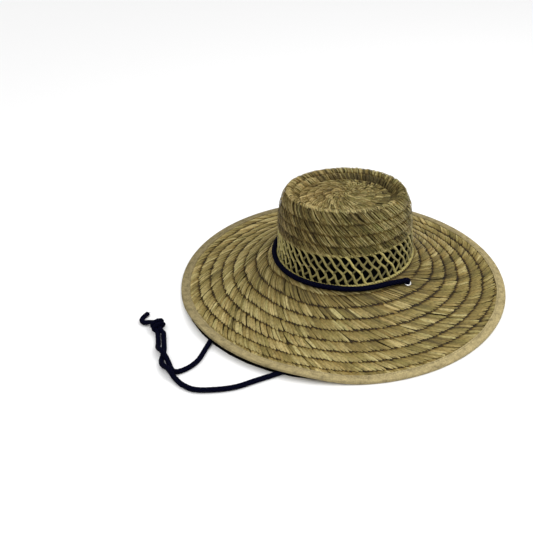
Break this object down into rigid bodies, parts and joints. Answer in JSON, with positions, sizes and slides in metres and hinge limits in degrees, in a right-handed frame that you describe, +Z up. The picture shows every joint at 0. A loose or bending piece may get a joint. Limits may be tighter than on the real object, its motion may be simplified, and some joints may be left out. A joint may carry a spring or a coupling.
{
  "type": "woven rush sun hat",
  "caption": "Wide-brimmed sun hat woven of rush, with a dented round-topped crown, an openwork band, a bound edge and a chin cord knotted at its end.",
  "frame": {"origin": "on the floor under the middle of the brim", "axes": "+Z up through the crown, +X and +Y across the brim, with the front of the crown towards -X"},
  "size_m": [0.4806, 0.4651, 0.1349],
  "materials": {
    "rush": "dry plaited rush with a slight sheen",
    "edge_tape": "matt woven cotton tape",
    "eyelet_metal": "bright plated",
    "cord": "matt braided navy cord"
  },
  "bodies": {
    "root": {"woven_body": "rush", "brim_binding": "edge_tape", "eyelet_near": "eyelet_metal", "eyelet_far": "eyelet_metal", "cord_round_crown": "cord", "cord_leg_front": "cord", "cord_leg_back": "cord", "cord_knot": "cord", "cord_tail": "cord"}
  },
  "joints": []
}
